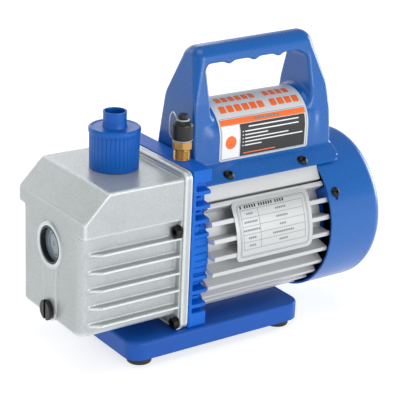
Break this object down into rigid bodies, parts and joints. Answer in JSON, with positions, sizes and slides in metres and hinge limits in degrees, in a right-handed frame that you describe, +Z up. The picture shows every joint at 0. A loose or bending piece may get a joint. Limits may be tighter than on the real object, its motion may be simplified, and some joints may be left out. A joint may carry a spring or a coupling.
{
  "type": "rotary vane vacuum pump",
  "caption": "Portable oil-sealed rotary vane vacuum pump: silver oil case, finned motor, blue carry handle, base and fan cover, capped inlet and exhaust.",
  "frame": {"origin": "centre of the footprint box, on the surface that the rubber feet stand on", "axes": "+X along the motor axis from the oil case to the fan cover, +Z up, -Y the side with the nameplate"},
  "size_m": [0.275, 0.126, 0.2272],
  "materials": {
    "blue_paint": "gloss blue enamel",
    "blue_plastic": "satin blue moulded nylon",
    "silver_paint": "fine silver paint on a die casting",
    "bare_aluminium": "extruded, lightly brushed",
    "nameplate_metal": "satin anodised plate with printed rules",
    "label_film": "printed film",
    "black_screw": "black oxide",
    "zinc_steel": "zinc plated",
    "bearing_steel": "ground",
    "lamination_steel": "stacked laminations",
    "copper_winding": "enamelled copper wire",
    "cast_iron": "machined",
    "vane_composite": "fibre filled resin",
    "black_rubber": "matt",
    "gasket_fibre": "fibre sheet",
    "filter_felt": "needled felt",
    "clear_glass": "polished",
    "black_plastic": "fine moulded texture",
    "capacitor_shell": "smooth",
    "yellow_brass": "machined",
    "translucent_plastic": "soft moulded polythene"
  },
  "bodies": {
    "pump": {"base_bolts": "zinc_steel", "base_plate": "blue_paint", "bearing_balls": "bearing_steel", "bearing_outer_rings": "bearing_steel", "capacitor_clamp": "black_plastic", "case_bolts": "black_screw", "case_gasket": "gasket_fibre", "cover_screws": "black_screw", "fan_cover": "blue_paint", "foot_screws": "zinc_steel", "front_plate_cover": "cast_iron", "handle": "blue_plastic", "handle_label": "label_film", "handle_screws": "black_screw", "inlet_fitting": "yellow_brass", "inlet_pins": "zinc_steel", "motor_bracket": "blue_paint", "motor_housing": "bare_aluminium", "nameplate": "nameplate_metal", "oil_baffle": "zinc_steel", "oil_case": "silver_paint", "power_inlet": "black_plastic", "pump_bolts": "zinc_steel", "pump_cylinder": "cast_iron", "pump_front_plate": "cast_iron", "pump_rear_plate": "cast_iron", "rear_end_bell": "bare_aluminium", "reed_valve": "bearing_steel", "rubber_feet": "black_rubber", "run_capacitor": "capacitor_shell", "shaft_seal": "black_rubber", "sight_glass_lens": "clear_glass", "sight_glass_ring": "black_plastic", "stator_core": "lamination_steel", "stator_windings": "copper_winding", "switch_body": "black_plastic", "tie_bolts": "zinc_steel", "valve_screws": "zinc_steel", "valve_stop": "zinc_steel", "wave_washer": "zinc_steel"},
    "rotor": {"motor_shaft": "bearing_steel", "rotor_core": "lamination_steel", "bearing_inner_rings": "bearing_steel", "cooling_fan": "black_plastic", "fan_clip": "zinc_steel", "pump_rotor": "cast_iron", "vane_springs": "bearing_steel"},
    "vane_a": {"vane_a": "vane_composite"},
    "vane_b": {"vane_b": "vane_composite"},
    "rocker": {"switch_rocker": "black_plastic"},
    "exhaust_gasket": {"exhaust_cap_gasket": "black_rubber"},
    "exhaust_cap": {"exhaust_cap": "blue_plastic", "filter_element": "filter_felt"},
    "inlet_seal": {"inlet_cap_seal": "black_rubber"},
    "inlet_cap": {"inlet_cap": "black_plastic"},
    "strap": {"cap_strap": "translucent_plastic"},
    "drain_seal": {"drain_plug_seal": "black_rubber"},
    "drain_plug": {"drain_plug": "black_plastic"}
  },
  "joints": [
    {"name": "rotor_spin", "type": "hinge", "parent": "pump", "child": "rotor", "pos_m": [0, 0, 0.0777], "axis": [1, 0, 0], "continuous": true},
    {"name": "vane_a_slide", "type": "slide", "parent": "rotor", "child": "vane_a", "axis": [0, -1, 0], "range_m": [0, 0.0033]},
    {"name": "vane_b_slide", "type": "slide", "parent": "rotor", "child": "vane_b", "axis": [0, 1, 0], "range_m": [0, 0.0033]},
    {"name": "switch_rock", "type": "hinge", "parent": "pump", "child": "rocker", "pos_m": [0.1016, 0, 0.1752], "axis": [0, 0, 1], "range_deg": [-18, 0]},
    {"name": "exhaust_cap_turn", "type": "hinge", "parent": "pump", "child": "exhaust_gasket", "pos_m": [-0.0792, 0, 0.1508], "axis": [0, 0, 1], "range_deg": [0, 1440.1]},
    {"name": "exhaust_cap_lift", "type": "slide", "parent": "exhaust_gasket", "child": "exhaust_cap", "axis": [0, 0, 1], "range_m": [0, 0.012]},
    {"name": "inlet_cap_turn", "type": "hinge", "parent": "pump", "child": "inlet_seal", "pos_m": [-0.0341, -0.0223, 0.1728], "axis": [0, 0, 1], "range_deg": [0, 3960.1]},
    {"name": "inlet_cap_lift", "type": "slide", "parent": "inlet_seal", "child": "inlet_cap", "axis": [0, 0, 1], "range_m": [0, 0.01397]},
    {"name": "strap_lift", "type": "slide", "parent": "pump", "child": "strap", "axis": [0, 0, 1], "range_m": [0, 0.01397]},
    {"name": "drain_plug_turn", "type": "hinge", "parent": "pump", "child": "drain_seal", "pos_m": [-0.134, 0, 0.0375], "axis": [-1, 0, 0], "range_deg": [0, 2880.1]},
    {"name": "drain_plug_withdraw", "type": "slide", "parent": "drain_seal", "child": "drain_plug", "axis": [-1, 0, 0], "range_m": [0, 0.012]}
  ],
  "couplings": [
    {"joint": "exhaust_cap_turn", "follows": "exhaust_cap_lift", "rad_per_m": 2094.4},
    {"joint": "inlet_cap_turn", "follows": "inlet_cap_lift", "rad_per_m": 4947.4},
    {"joint": "strap_lift", "follows": "inlet_cap_lift", "ratio": 1},
    {"joint": "drain_plug_turn", "follows": "drain_plug_withdraw", "rad_per_m": 4188.8}
  ]
}
